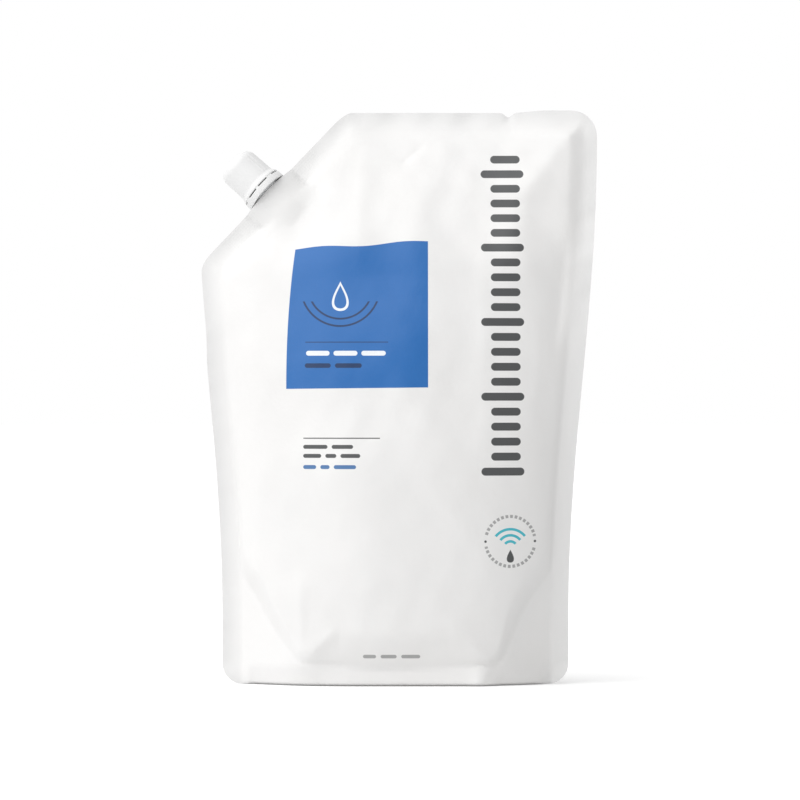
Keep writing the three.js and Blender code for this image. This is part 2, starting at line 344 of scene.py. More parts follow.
def ring(reach, radius, thick):
    """A circle of a given thickness, from the distance to its centre."""
    return (thick / 2 - abs(reach - radius)).inside(SOFT)


def field(across, up):
    """The large field. Its left side bows and its top edge waves, because the film does."""
    share = ((up - 142.0) / 67.0).at_least(0.0)
    left = share ** 2.2 * FIELD_BOW + FIELD_LEFT
    top = (across + 48.0) * 0.057 + ((across + 45.0) * 0.157).sine() * FIELD_WAVE + FIELD_TOP
    foot = (across + 20.0) * 0.01 + FIELD_FOOT
    sides = (across - left).inside(SOFT) * (FIELD_RIGHT - across).inside(SOFT)
    return sides * (top - up).inside(SOFT) * (up - foot).inside(SOFT)


def field_marks(across, up):
    """On the field: pale for a drop and a row of bars, navy for two cupped strokes, a rule and a row."""
    outer, inner = (drop(across, up, *one) for one in FIELD_DROPS)
    pale = bars(across, up, *PALE_ROW).at_least(outer - inner)
    right, rise = across - CUP_ACROSS, up - CUP_UP
    reach = (right * right + rise * rise) ** 0.5
    cups = ring(reach, CUP_RADII[0], CUP_LINE).at_least(ring(reach, CUP_RADII[1], CUP_LINE))
    navy = bars(across, up, *NAVY_ROW).at_least(cups * (CUP_END - up).inside(SOFT))
    return pale, navy.at_least(bar(across, up, *FIELD_RULE))


def small_marks(across, up):
    """Grey for the rule and bars under the field and the bars at the foot, blue for one more row."""
    dark = bar(across, up, *PANEL_RULE)
    for row in GREY_ROWS:
        dark = dark.at_least(bars(across, up, *row))
    return dark.at_least(bars(across, up, *FOOT_ROW) * FOOT_INK), bars(across, up, *BLUE_ROW)


def scale_marks(across, up):
    """A plain column of round-ended bars up the right of the front, every fifth one longer."""
    count = (up - SCALE_LOW) / SCALE_PITCH
    index = count.math("FLOOR")
    rise = (count - index - 0.5) * SCALE_PITCH
    fifth = (0.5 - index.math("FLOORED_MODULO", 5.0)).inside(0.2)
    half = fifth * SCALE_LONGER + SCALE_HALF
    past = (abs(across - (SCALE_ACROSS - half * SCALE_SKEW)) - (half - SCALE_THICK)).at_least(0.0)
    body = (SCALE_THICK - (past * past + rise * rise) ** 0.5).inside(SOFT)
    return body * (up - SCALE_LOW).inside(SOFT) * (SCALE_HIGH - up).inside(SOFT)


def round_mark(across, up):
    """Grey for a circle of fine dashes with two dots, round a drop. Teal for three ripples over it."""
    right, rise = across - MARK_ACROSS, up - MARK_UP
    reach = (right * right + rise * rise) ** 0.5
    turn = rise.math("ARCTAN2", right)
    dashes = ((turn * MARK_DASHES).sine() + 0.35).inside(0.5)
    gaps = (abs(abs(turn) - math.pi) - MARK_GAP).inside(0.04) * (abs(turn) - MARK_GAP).inside(0.04)
    dots_reach = ((abs(right) - MARK_RADIUS) ** 2.0 + rise * rise) ** 0.5
    dashed = ring(reach, MARK_RADIUS, MARK_LINE) * dashes * gaps * DASH_INK
    dark = drop(across, up, *MARK_DROP).at_least(dashed.at_least((MARK_DOT - dots_reach).inside(SOFT)))
    arch = rise + RIPPLES_BELOW
    ripple = (right * right + arch * arch) ** 0.5
    near, middle, far = (ring(ripple, radius, RIPPLE_LINE) for radius in RIPPLE_RADII)
    return dark, near.at_least(middle).at_least(far) * (arch - abs(right) * RIPPLE_SPREAD).inside(SOFT)


def knurl(across, up):
    """Fine diamonds pressed into the weld on both sides of the spout."""
    right, rise = across - SEAT.x, up - SEAT.z
    along = right * ALONG_SLANT.x + rise * ALONG_SLANT.y
    inwards = right * ALONG_SLANT.y - rise * ALONG_SLANT.x
    diamonds = ((along + inwards) * KNURL).sine() * ((along - inwards) * KNURL).sine()
    beside = (KNURL_END - abs(along)).inside(6.0) * (abs(along) - KNURL_START).inside(2.0)
    return diamonds * beside * (KNURL_INNER - inwards).inside(1.5) * (inwards - KNURL_OUTER).inside(0.5)


def film_material(sizes):
    """White film with its print, satin on the body and duller on the margins, which carry painted shade."""
    material, tree = new_material("printed_film")
    place = tree.place()
    right, _, rise = tree.parts(place)
    across, up = right * (1 / MM), rise * (1 / MM)
    front = tree.attribute("front")
    seal = tree.attribute("seal")
    cloud = tree.noise(place, 24.0, 2.0)
    warm = tuple(level * tint for level, tint in zip(sizes.white, WARM_TINT))
    # Painted shade: the margins are greyed, most of all at the outer edge of the film, where the seal share
    # is highest.
    painted_margin_shade = tuple(level * MARGIN_PAINTED_SHADE for level in sizes.white)
    base = tree.mix(cloud, sizes.white, warm)
    base = tree.mix(seal, base, painted_margin_shade)
    if sizes.printed:
        pale, navy = field_marks(across, up)
        small, blue = small_marks(across, up)
        dark, waves = round_mark(across, up)
        inked = small.at_least(dark).at_least(scale_marks(across, up))
        blue_field = field(across, up) * front
        for mask, ink in (
            (blue_field, sizes.field), (navy * blue_field, sizes.navy), (pale * blue_field, sizes.pale),
            (inked * front, sizes.grey), (blue * front, sizes.blue), (waves * front, sizes.teal),
        ):
            base = tree.mix(mask, base, ink)
    fine = tree.noise(place, 460.0, 3.0, 0.6)
    broad = tree.noise(place, 80.0, 3.0) + knurl(across, up) * 0.12
    roughness = tree.noise(place, 130.0, 2.0) * 0.1 + seal * 0.08 + 0.33
    finish_material(tree, base, roughness, fine * 0.16 + broad, 0.0003, Specular_IOR_Level=0.45)
    return material


def moulded_material(name, base_colour, grain, roughness, depth):
    """Injection-moulded plastic: a fine matt grain, with a faint change of shade."""
    material, tree = new_material(name)
    place = tree.place()
    shade = tree.noise(place, 90.0, 2.0)
    darker = tuple(level * 0.965 for level in base_colour)
    height = tree.noise(place, grain, 4.0, 0.6)
    varied = tree.noise(place, grain / 4, 2.0) * 0.12 + roughness
    finish_material(tree, tree.mix(shade, base_colour, darker), varied, height, depth, IOR=1.49)
    return material


def foam_material(base_colour):
    """Closed-cell foam: small round cells."""
    material, tree = new_material("disc_foam")
    place = tree.place()
    cells = tree.add("ShaderNodeTexVoronoi", None, {"Vector": place, "Scale": 2600.0})
    darker = tuple(level * 0.8 for level in base_colour)
    finish_material(tree, tree.mix(cells, base_colour, darker), 0.8, cells, 0.0001)
    return material


# ---------------------------------------------------------------- Mesh helpers


def smooth(value, low, high):
    """0 below low and 1 above high, with an S-curve between."""
    share = np.clip((value - low) / (high - low), 0, 1)
    return share * share * (3 - 2 * share)


def soft_max(first, second, blend):
    """The larger of two values, rounded over where they are closer than blend."""
    blend = np.maximum(blend, 1e-6)
    overlap = np.maximum(blend - np.abs(first - second), 0) / blend
    return np.maximum(first, second) + overlap ** 2 * blend / 4


def bell(value, middle, width):
    return np.exp(-(((value - middle) / width) ** 2))


def link(name, data):
    """A new object in the scene that holds a mesh, a light or a camera."""
    made = bpy.data.objects.new(name, data)
    bpy.context.scene.collection.objects.link(made)
    return made


def tidy_mesh(mesh, distance=2e-6):
    """Merges doubles, points every face outwards, and shades it smooth except over sharp edges."""
    work = bmesh.new()
    work.from_mesh(mesh)
    bmesh.ops.remove_doubles(work, verts=work.verts, dist=distance)
    bmesh.ops.dissolve_degenerate(work, edges=work.edges, dist=distance / 4)
    bmesh.ops.recalc_face_normals(work, faces=work.faces)
    work.to_mesh(mesh)
    work.free()
    mesh.shade_smooth()
    mesh.set_sharp_from_angle(angle=math.radians(55))


def mesh_from(name, points, faces, material):
    """A mesh from points in millimetres."""
    mesh = bpy.data.meshes.new(name)
    mesh.from_pydata((np.asarray(points, float) * MM).tolist(), [], [list(face) for face in faces])
    mesh.materials.append(material)
    return mesh


def grid_faces(rows, columns, wrap_rows=False, wrap_columns=False):
    """Quads of a grid whose points are numbered row by row."""
    index = np.arange(rows * columns).reshape(rows, columns)
    if wrap_rows:
        index = np.vstack([index, index[:1]])
    if wrap_columns:
        index = np.hstack([index, index[:, :1]])
    corners = (index[:-1, :-1], index[:-1, 1:], index[1:, 1:], index[1:, :-1])
    return np.stack([corner.ravel() for corner in corners], axis=1)


def arc(centre, radius, start, end, steps=6):
    """Points of an arc in the plane of a profile, with its angles in degrees."""
    angle = np.radians(np.linspace(start, end, steps + 1))
    return list(zip(centre[0] + radius * np.cos(angle), centre[1] + radius * np.sin(angle)))


def ring_points(radius, height, columns):
    """Points of stacked rings. radius holds one number, or one row, for each height."""
    angle = np.linspace(0, 2 * math.pi, columns, endpoint=False)
    radius = np.broadcast_to(np.asarray(radius, float).reshape(len(height), -1), (len(height), columns))
    level = np.repeat(np.asarray(height, float)[:, None], columns, axis=1)
    return np.stack([radius * np.cos(angle), radius * np.sin(angle), level], axis=-1).reshape(-1, 3)


def turned(name, profile, material, columns=144):
    """An outline of (radius, height) that is closed, or ends on the axis, turned about the axis."""
    profile = np.asarray(profile, float)
    points = ring_points(profile[:, 0], profile[:, 1], columns)
    faces = grid_faces(len(profile), columns, wrap_rows=profile[0, 0] > 0, wrap_columns=True)
    return mesh_from(name, points, faces, material)


def in_closure(name, mesh):
    """Puts a mesh made in the closure's frame in its place, as an object at the origin."""
    mesh.transform(CLOSURE)
    tidy_mesh(mesh)
    return link(name, mesh)


# ---------------------------------------------------------------- Geometry node groups


def new_group(name, inputs):
    """A geometry node group with a shape in and out, and other named inputs with their defaults."""
    group = bpy.data.node_groups.new(name, "GeometryNodeTree")
    group.interface.new_socket(name="Geometry", in_out="INPUT", socket_type="NodeSocketGeometry")
    for label, kind, value in inputs:
        socket = group.interface.new_socket(name=label, in_out="INPUT", socket_type="NodeSocket" + kind)
        if value is not None:
            socket.default_value = value
    group.interface.new_socket(name="Geometry", in_out="OUTPUT", socket_type="NodeSocketGeometry")
    tree = Tree(group)
    entry = tree.add("NodeGroupInput").socket.node
    return group, tree, {output.name: Socket(tree, output) for output in entry.outputs if output.name}


def end_group(tree, shape, material):
    real = tree.add("GeometryNodeRealizeInstances", None, {"Geometry": shape})
    painted = tree.add("GeometryNodeSetMaterial", None, {"Geometry": real, "Material": material})
    tree.add("NodeGroupOutput", None, {"Geometry": painted})


def copies_group():
    """Copies of the shape at even turns about the axis."""
    inputs = (("Copies", "Int", 4), ("First turn", "Float", 0.0), ("Material", "Material", None))
    group, tree, given = new_group("copies_round_axis", inputs)
    index = tree.add("GeometryNodeInputIndex")
    turn = index / given["Copies"] * (2 * math.pi) + given["First turn"]
    angles = tree.add("ShaderNodeCombineXYZ", None, {"Z": turn})
    rotation = tree.add("FunctionNodeEulerToRotation", None, {"Euler": angles})
    points = tree.add("GeometryNodePoints", None, {"Count": given["Copies"]})
    values = {"Points": points, "Instance": given["Geometry"], "Rotation": rotation}
    end_group(tree, tree.add("GeometryNodeInstanceOnPoints", None, values), given["Material"])
    return group


def thread_group():
    """A round ridge along a right-hand helix that fades out at both ends."""
    inputs = (
        ("Radius", "Float", 0.008), ("Pitch", "Float", 0.003), ("Turns", "Float", 2.0),
        ("Start", "Float", 0.0), ("First turn", "Float", 0.0), ("Ridge", "Float", 0.0006),
        ("Material", "Material", None),
    )
    group, tree, given = new_group("thread_ridge", inputs)
    sizes = {
        "Resolution": 72, "Rotations": given["Turns"], "Height": given["Pitch"] * given["Turns"],
        "Start Radius": given["Radius"], "End Radius": given["Radius"], "Reverse": True,
    }
    helix = tree.add("GeometryNodeCurveSpiral", None, sizes)
    lift = tree.add("ShaderNodeCombineXYZ", None, {"Z": given["Start"]})
    twist = tree.add("ShaderNodeCombineXYZ", None, {"Z": given["First turn"]})
    values = {"Geometry": helix, "Translation": lift, "Rotation": twist}
    placed = tree.add("GeometryNodeTransform", None, values)
    share = tree.add("GeometryNodeSplineParameter")
    taper = (share.at_most(1 - share) * given["Turns"] * 4.0).at_most(1.0) ** 0.5
    values = {"Curve": placed, "Radius": taper}
    tapered = tree.add("GeometryNodeSetCurveRadius", None, values)
    section = tree.add("GeometryNodeCurvePrimitiveCircle", None, {"Resolution": 10, "Radius": given["Ridge"]})
    values = {"Curve": tapered, "Profile Curve": section, "Fill Caps": True}
    end_group(tree, tree.add("GeometryNodeCurveToMesh", None, values), given["Material"])
    return group


def grown(name, mesh, group, values):
    """The plain object that a node group makes from a mesh, put in its place in the closure."""
    holder = link(name + "_seed", mesh)
    modifier = holder.modifiers.new(group.name, "NODES")
    modifier.node_group = group
    for item in group.interface.items_tree:
        if item.in_out == "INPUT" and item.name in values:
            modifier[item.identifier] = values[item.name]
    graph = bpy.context.evaluated_depsgraph_get()
    result = bpy.data.meshes.new_from_object(holder.evaluated_get(graph))
    bpy.data.objects.remove(holder)
    return in_closure(name, result)


# ---------------------------------------------------------------- The film

HEIGHT = CAD_BOX[1].z / MM
WIDENING = (30.0, 270.0)  # heights between which the film widens
LEAN = (160.0, 210.0)  # heights between which the head bends back
BASE_CORNER, HEAD_CORNER, SHOULDER_CORNER = 10.0, 12.5, 6.0
SLANT_BLEND = 5.0  # softness of the turn from the slanted edge into the left side
TUCK, TUCK_HEIGHTS = 1.1, (148, 172)  # how far the left side is drawn in below the shoulder
RIM_FLAT = 45.0  # half the straight middle of the standing rim, between the facets
FADE_POWER, FOOT_SLACK, FULLNESS = 1.12, 0.12, (0.6, 0.88)  # of the filled body
FOOT_MIDDLE = -1.0  # middle of the trapezoid above the skirt
FLARE_HEIGHT, CURL_HEIGHT, CURL = 9.5, 1.5, 4.5  # of the skirt, and of its rim turned under
SPOUT_COVER, SPOUT_SPREAD = 7.0, 15.6  # half depth and half length of the film over the weld base
BASE_LOW = 1.0  # height of the base film in its middle
NOTCH, NOTCH_DEPTH, NOTCH_WIDTH = 54.6, 2.1, 2.2  # the tear notch in the top edge
HEAD_LIFT = 1.2  # how far the right of the head stands up

# The welded line between a panel and the base film, as (across, up): low along the skirt, and
# rising at both ends to meet the side seals.
WELD_LINE = np.array([
    (-80, 60), (-73.5, 52), (-65, 40.3), (-59, 28.3), (-46, 11), (-38, 10.6), (-28, 10.2), (-12, 7.9),
    (2, 7.6), (20, 8.7), (34, 10.2), (46, 9.6), (51, 12.5), (59, 32), (65, 43), (73.5, 53.5), (80, 60),
], float)

# A crease is (start, end, height, left, right). It runs from start to end, and falls away over
# left and right millimetres on either hand. A negative height is a valley.
HEAD_CREASES = (
    ((-16.5, 200), (-14.5, 262), 4.4, 12, 32),
    ((62, 232), (90, 271), 3.6, 15, 20),
    ((61, 188), (63, 246), 3.8, 28, 24),
    ((22, 234), (24, 262), 0.9, 12, 14),
    ((44, 228), (48, 264), 1.2, 14, 12),
    ((2, 248), (14, 259), -0.7, 3, 3),
    ((-84, 199), (-58, 219), 0.75, 4, 2.5),
    ((-77, 195), (-64, 206), 0.4, 3, 2),
    ((-50, 217), (-42, 228), -0.8, 5, 5),
    ((56, 264), (54.6, 277), -0.4, 3, 3),
)
FLANK_CREASES = (
    ((77, 62), (77.5, 118), -0.9, 2.5, 2),
    ((76, 160), (83, 214), -1.8, 8, 4),
    ((43, 96), (42, 214), 0.9, 9, 14),
    ((-64, 84), (-68, 178), 0.8, 8, 12),
    ((66, 120), (69, 176), 0.6, 6, 5),
)
FOOT_CREASES = (
    ((-44.8, 11), (-45.6, 50), 1.1, 8, 4),
    ((-44.5, 10.5), (-29, 27), 0.7, 3, 4),
    ((42, 0), (51, 12), -0.8, 3, 3),
    ((75, 22), (74.5, 54), 0.8, 3, 2.5),
    ((-75.5, 22), (-74, 52), 0.6, 3, 3),
)
BACK_CREASES = (
    ((58, 234), (88, 264), 1.8, 12, 6),
    ((-28, 206), (-20, 262), 1.3, 9, 6),
    ((10, 226), (14, 262), 0.8, 6, 6),
    ((-82, 202), (-60, 217), 0.6, 3, 3),
    ((-45, 11), (-31, 26), 0.6, 3, 4),
    ((44, 11), (32, 26), 0.6, 4, 3),
    ((72, 96), (77, 180), -0.9, 5, 4),
    ((-76, 70), (-77, 130), -0.7, 3, 3),
    ((-30, 90), (-26, 190), 0.7, 12, 10),
)


class Ripples:
    """Soft dents: a sum of waves whose directions, lengths and phases come from a seed."""

    def __init__(self, seed, wavelength, count=10):
        random = np.random.default_rng(seed)
        angle = random.uniform(0, math.pi, count)
        number = 2 * math.pi / (wavelength * random.uniform(0.7, 1.5, count))
        self.waves = list(zip(number * np.cos(angle), number * np.sin(angle), random.uniform(0, 7, count)))

    def at(self, x, z):
        return sum(np.sin(across * x + up * z + phase) for across, up, phase in self.waves) / 3


def crease(x, z, start, end, height, left, right):
    """A straight ridge or valley that fades out at both ends."""
    run = np.subtract(end, start).astype(float)
    reach = math.hypot(*run)
    along = ((x - start[0]) * run[0] + (z - start[1]) * run[1]) / reach ** 2
    aside = ((z - start[1]) * run[0] - (x - start[0]) * run[1]) / reach
    fade = smooth(along, -0.15, 0.25) * (1 - smooth(along, 0.75, 1.15))
    soft = 0.08 * (left + right)
    return fade * height * np.exp((soft - np.hypot(aside, soft)) / np.where(aside > 0, left, right))


def corner_pull(distance, radius):
    """How far a rounded corner draws an edge in, at a distance from the corner's other edge."""
    short = radius - np.clip(distance, 0, radius)
    return radius - np.sqrt(radius ** 2 - short ** 2)


class PouchForm:
    """The shape of the film, in millimetres across (x) and up (z)."""

    def __init__(self, sizes):
        self.seal = sizes.seal / MM
        self.film = sizes.film / MM
        self.base_half = sizes.base_half / MM
        self.head_half = sizes.head_half / MM
        self.belly_half = sizes.belly / MM / 2
        self.rim_half = sizes.rim / MM / 2
        self.crumple = sizes.crumple
        self.creases = sizes.creases

    def half_width(self, z):
        share = np.clip((z - WIDENING[0]) / (WIDENING[1] - WIDENING[0]), 0, 1)
        return self.base_half + (self.head_half - self.base_half) * (1 - np.cos(np.pi * share)) / 2

    def edges(self, z, inset):
        """Left and right edge of the film at a height, set in by inset."""
        side = self.half_width(z) - inset
        below_top = HEIGHT - inset - z
        foot = corner_pull(z, BASE_CORNER)
        right = side - foot - corner_pull(below_top, HEAD_CORNER - inset / 2)
        slant = SEAT.x + (z - SEAT.z) * ALONG_SLANT.x / ALONG_SLANT.y + inset / ALONG_SLANT.y
        left = soft_max(foot - side + TUCK * smooth(z, *TUCK_HEIGHTS), slant, SLANT_BLEND)
        return left + corner_pull(below_top, SHOULDER_CORNER) / 2, right

    def lean(self, z):
        """How far the head leans back at a height, and the slope there."""
        bent = np.clip(z, *LEAN) - LEAN[0]
        span = LEAN[1] - LEAN[0]
        back = LEAN_SLOPE * (bent ** 2 / (2 * span) + np.maximum(z - LEAN[1], 0))
        return back, LEAN_SLOPE * bent / span

    def weld(self, x):
        """Height of the welded line between panel and base film, with its turns eased."""
        steps = np.linspace(-2, 2, 5)
        return sum(np.interp(x + step, WELD_LINE[:, 0], WELD_LINE[:, 1]) for step in steps) / len(steps)

    def web(self, x, z):
        """Half depth of the fused skirt that the pouch stands on: a straight rim, and a facet at each end."""
        edge = self.half_width(z) - self.seal
        turn = soft_max((np.abs(x) - RIM_FLAT) / (edge - RIM_FLAT), 0 * x, 0.25)
        return self.rim_half * (1 - np.clip(turn, 0, 1))

    def body(self, x, z):
        """Half depth of the filled body between the seals."""
        left, right = self.edges(z, self.seal)
        chord = np.maximum(right - left, 1)
        across = np.clip((2 * x - left - right) / chord, -1, 1)
        fullness = FULLNESS[0] + (FULLNESS[1] - FULLNESS[0]) * smooth(z, 60, 220)
        fade = np.clip(1 - (z / (HEIGHT - self.seal)) ** 2, 0, 1) ** FADE_POWER
        fade = fade * (1 - FOOT_SLACK * (1 - smooth(z, 15, 125)))
        share = chord / (2 * (self.half_width(z) - self.seal))
        return self.belly_half * fade * (1 - across ** 2) ** fullness * share

    def from_spout(self, x, z):
        """Distance along the slanted edge from the middle of the spout, and inwards from that edge."""
        right, rise = x - SEAT.x, (z - SEAT.z) * math.hypot(1, LEAN_SLOPE)
        run = Vector((CLOSURE.col[0].x, math.hypot(CLOSURE.col[0].y, CLOSURE.col[0].z)))
        return right * run.x + rise * run.y, right * run.y - rise * run.x

    def over_spout(self, x, z):
        """Half depth of the film over the weld base of the spout, and of the long slope behind it."""
        along, inwards = self.from_spout(x, z)
        spread = SPOUT_SPREAD + 0.6 * np.maximum(inwards - 11, 0)
        return SPOUT_COVER * np.clip(1 - (along / spread) ** 2, 0, 1) * (1 - smooth(inwards, 9, 72))

    def near_spout(self, x, z):
        """1 where the film is held flat by the weld base, and 0 well away from it."""
        along, inwards = self.from_spout(x, z)
        return (1 - smooth(np.abs(along), 15, 30)) * (1 - smooth(inwards, 13, 36))

    def margin(self, x, z):
        """Distance in from the nearest edge of the film."""
        left, right = self.edges(z, 0)
        slant = (x - SEAT.x) * ALONG_SLANT.y - (z - SEAT.z) * ALONG_SLANT.x
        return np.minimum.reduce([x - left, right - x, HEIGHT - z, np.maximum(slant, 0)])

    def above_weld(self, x, z):
        """Distance above the welded line, square to it."""
        slope = (self.weld(x + 1) - self.weld(x - 1)) / 2
        return (z - self.weld(x)) / np.hypot(1, slope)

    def turn_out(self, x, above):
        """Share of the way from the skirt out to the body: a short way at the facets, a long one between."""
        aside = np.abs(x - FOOT_MIDDLE)
        reach = 4 + 12 * (1 - np.clip((aside - 26) / 19, 0, 1)) + 2 * smooth(aside, 46, 54)
        early = 0.95 - 0.2 * bell(aside, 46, 5)
        ramp = np.maximum(above, 0) / reach
        ramp = ramp - soft_max(ramp - 1, 0 * ramp, 0.25)
        return early * ramp + (1 - early) * smooth(above, 0, 50)

    def flare(self, x, z):
        """How far the skirt spreads towards the floor. It is turned in at the left."""
        spread = 1.3 + 1.4 * bell(x, 41, 5) - 4.6 * smooth(-x, 20, 48) - 1.8 * bell(x, 51, 5)
        return (1 - np.clip(z / FLARE_HEIGHT, 0, 1)) * spread

    def groove(self, x, above):
        """Depth of the groove pressed along the welded line."""
        return (0.35 + 0.5 * bell(x, 42, 7) + 0.35 * bell(x, -35, 9)) * bell(above, 0, 1.5)

    def wrinkles(self, x, z, above, side):
        """Height of the soft dents of one sheet, and of its creases."""
        margin = self.margin(x, z)
        inner = smooth(margin, self.seal, self.seal + 12)
        near = smooth(margin, self.seal - 4, self.seal + 5)
        seed = 11 if side < 0 else 23
        dents = Ripples(seed, 46).at(x, z) * (0.5 - 0.3 * smooth(z, 195, 235))
        dents += Ripples(seed + 1, 17).at(x, z) * 0.1
        flutes = Ripples(seed + 2, 34).at(x * 1.25, z * 0.35) * 0.3 * smooth(z, 185, 235)
        lines = HEAD_CREASES + FLANK_CREASES + FOOT_CREASES if side < 0 else BACK_CREASES
        folds = sum(crease(x, z, *line) for line in lines)
        return inner * smooth(above, -2, 10) * self.crumple * (dents + flutes), folds * near * self.creases

    def depth(self, x, z, side):
        """Half depth of the front (side -1) or back (side 1) sheet."""
        web, body = self.web(x, z), self.body(x, z)
        above = self.above_weld(x, z)
        standing = smooth(web, 1, 6)
        rise = web + (body - web) * self.turn_out(x, above)
        depth = np.where(above > 0, rise, web + self.flare(x, z) * standing)
        depth = depth - self.groove(x, above) * standing
        spout = self.over_spout(x, z)
        depth = soft_max(depth, spout, 3 * smooth(spout, 0, 2))
        curl = CURL * (1 - np.clip(z / CURL_HEIGHT, 0, 1)) ** 2 * smooth(web, 1, 7)
        dents, folds = self.wrinkles(x, z, above, side)
        return np.maximum(depth + dents + folds - curl, 0) + self.film

    def sway(self, x, z):
        """Shared bend of both sheets, strongest in the unfilled head and along the margins."""
        loose = smooth(z, 120, 250) * 1.1 + 0.35 * smooth(z, 4, 30)
        margin = self.margin(x, z)
        pucker = Ripples(41, 15).at(x, z) * 0.16 * (1 - smooth(margin, 4, 14))
        turned_back = 1.7 * (1 - np.clip(margin / self.seal, 0, 1) ** 2) * smooth(z, 2, 12)
        turned_back = turned_back * (1 - 0.6 * smooth(x, 60, 80) * smooth(z, 180, 215))
        bend = (Ripples(31, 60).at(x, z) * 0.7 + pucker) * loose + turned_back
        return bend * (1 - self.near_spout(x, z))

    def points(self, x, z, side):
        """Points of one sheet, leaned back with the head."""
        back, tilt = self.lean(z)
        offset = side * self.depth(x, z, side) / np.hypot(1, tilt)
        up = HEAD_LIFT * smooth(z, 230, HEIGHT) * smooth(x, 54, 74)
        up -= NOTCH_DEPTH * smooth(z, HEIGHT - 7, HEIGHT) * bell(x, NOTCH, NOTCH_WIDTH)
        return np.stack([x, back + self.sway(x, z) + offset, z - offset * tilt + up], axis=-1)

    def rows(self):
        """Heights of the rows of points, closer together at the corners and the foot."""
        turn = np.linspace(0, math.pi / 2, 9)
        head = HEIGHT - HEAD_CORNER
        return np.concatenate([
            np.linspace(0, 1.5, 7)[:-1],
            BASE_CORNER * (1 - np.cos(turn))[3:-1],
            np.arange(BASE_CORNER, 60, 1.0),
            np.arange(60, 190, 1.6),
            np.arange(190, head - 0.5, 1.2),
            head + HEAD_CORNER * np.sin(np.linspace(0, math.pi / 2, 14)),
        ])

    def places(self, z, columns):
        """Places across each row, with a column on the inner edge of each side seal."""
        left, right = self.edges(z, 0)
        inner_left, inner_right = self.edges(np.minimum(z, HEIGHT - 2 * self.seal), self.seal)
        inner_left = np.clip(inner_left, left + 3, right - self.seal)
        inner_right = np.clip(inner_right, inner_left + 3, right - 3)
        margin = np.linspace(0, 1, 7)
        spans = ((left, inner_left, margin[:-1]), (inner_left, inner_right, np.linspace(0, 1, columns)),
                 (inner_right, right, margin[1:]))
        return np.hstack([start[:, None] + (end - start)[:, None] * share for start, end, share in spans])

    def underside(self, x):
        """Rows from the front rim up inside the skirt, across the base film, and down to the back rim."""
        edge = self.weld(x)
        middle = BASE_LOW + (edge - BASE_LOW) * smooth(np.abs(x), 30, 74)
        climb = np.linspace(0, 1, 8)
        front, back = (
            [np.maximum(self.depth(x, edge * share, side) - 3 * self.film, self.film / 4) for share in climb]
            for side in (-1, 1)
        )
        rows = [np.stack([x, -wall, edge * share], axis=-1) for wall, share in zip(front, climb)]
        for share in np.linspace(-1, 1, 27)[1:-1]:
            height = edge + (middle - edge) * (1 - abs(share) ** 2.6)
            rows.append(np.stack([x, (back if share > 0 else front)[-1] * share, height], axis=-1))
        rows += [np.stack([x, wall, edge * share], axis=-1) for wall, share in zip(back, climb)][::-1]
        return np.array(rows)


def strip(first, second):
    """Quads between two equal rows of point numbers."""
    return np.stack([first[:-1], second[:-1], second[1:], first[1:]], axis=1)


def film_mesh(form, material, columns=134):
    """Front panel, back panel and base film as one closed mesh."""
    heights = form.rows()
    x = form.places(heights, columns)
    z = np.repeat(heights[:, None], x.shape[1], axis=1)
    under = form.underside(x[0])
    sheets = [form.points(x, z, -1), form.points(x, z, 1), under]
    starts = (0, x.size, 2 * x.size)
    numbers = [start + np.arange(len(sheet) * sheet.shape[1]).reshape(sheet.shape[:2])
               for start, sheet in zip(starts, sheets)]
    front, back, base = numbers
    faces = [grid_faces(*number.shape) + start for start, number in zip(starts, numbers)]
    faces += [strip(first, second) for first, second in (
        (front[:, 0], back[:, 0]), (front[:, -1], back[:, -1]), (front[-1], back[-1]),
        (front[0], base[0]), (base[-1], back[0]),
    )]
    faces = np.concatenate(faces).tolist()
    for end in (0, -1):
        faces.append([int(point) for point in (front[0][end], *base[:, end], back[0][end])])
    points = np.concatenate([sheet.reshape(-1, 3) for sheet in sheets])
    mesh = mesh_from("pouch_film", points, faces, material)
    margin = form.margin(x, z)
    # The seal share falls from 1 at the outer edge of the film to 0 just inside the margin. It sets the
    # painted shade of the margins and their duller finish.
    seal = 1 - 0.7 * smooth(margin, 0, form.seal) - 0.3 * smooth(margin, form.seal - 1, form.seal + 1)
    for name, values in (("front", (np.ones(x.size), np.zeros(x.size), np.zeros(base.size))),
                         ("seal", (seal.ravel(), seal.ravel(), np.zeros(base.size)))):
        layer = mesh.attributes.new(name, "FLOAT", "POINT")
        layer.data.foreach_set("value", np.concatenate(values).astype(np.float32))
    tidy_mesh(mesh)
    return mesh


# ---------------------------------------------------------------- The closure, in its own frame

CAP_LOW, CAP_TOP, FLARE_TOP, DOME, DRAFT = 4.2, 23.2, 7.0, 0.7, 0.25
CAP_BORE, CAP_ROOF_RADIUS, CAP_ROOF, CAP_ROUND = 8.9, 7.9, 21.8, 0.3
RIB_LOW, RIB_TOP, RIB_ANGLES = 6.4, 19.4, (31, 43)
BAND_INNER, BAND_OUTER, BAND_LOW, BAND_TOP = 10.0, 11.4, 0.4, 3.5
BAND_ROUND, BAND_INNER_ROUND = 0.35, 0.2
BRIDGES = (("narrow_bridges", 9, -18), ("wide_bridges", 18, 27))  # name, width and first place, in degrees
LUG_WIDTH, LUG_HEIGHT = 20, 1.1  # degrees, millimetres
BLOCK_ROUND = 0.12  # of the edges of a bridge or a lug
NECK_RADIUS, MOUTH_RADIUS, MOUTH = 7.8, 7.4, 20.2
BEAD_RADIUS, BEAD_LOW, BEAD_TOP = 9.0, 2.2, 3.3
BORE_BASE, BORE_NECK, BORE_LIP = 4.5, 6.0, 6.6
BOAT_LENGTH, BOAT_WIDTH, BOAT_FOOT, BOAT_TOP = 15.0, 6.2, -10.2, 0.1  # the weld base, half its sides
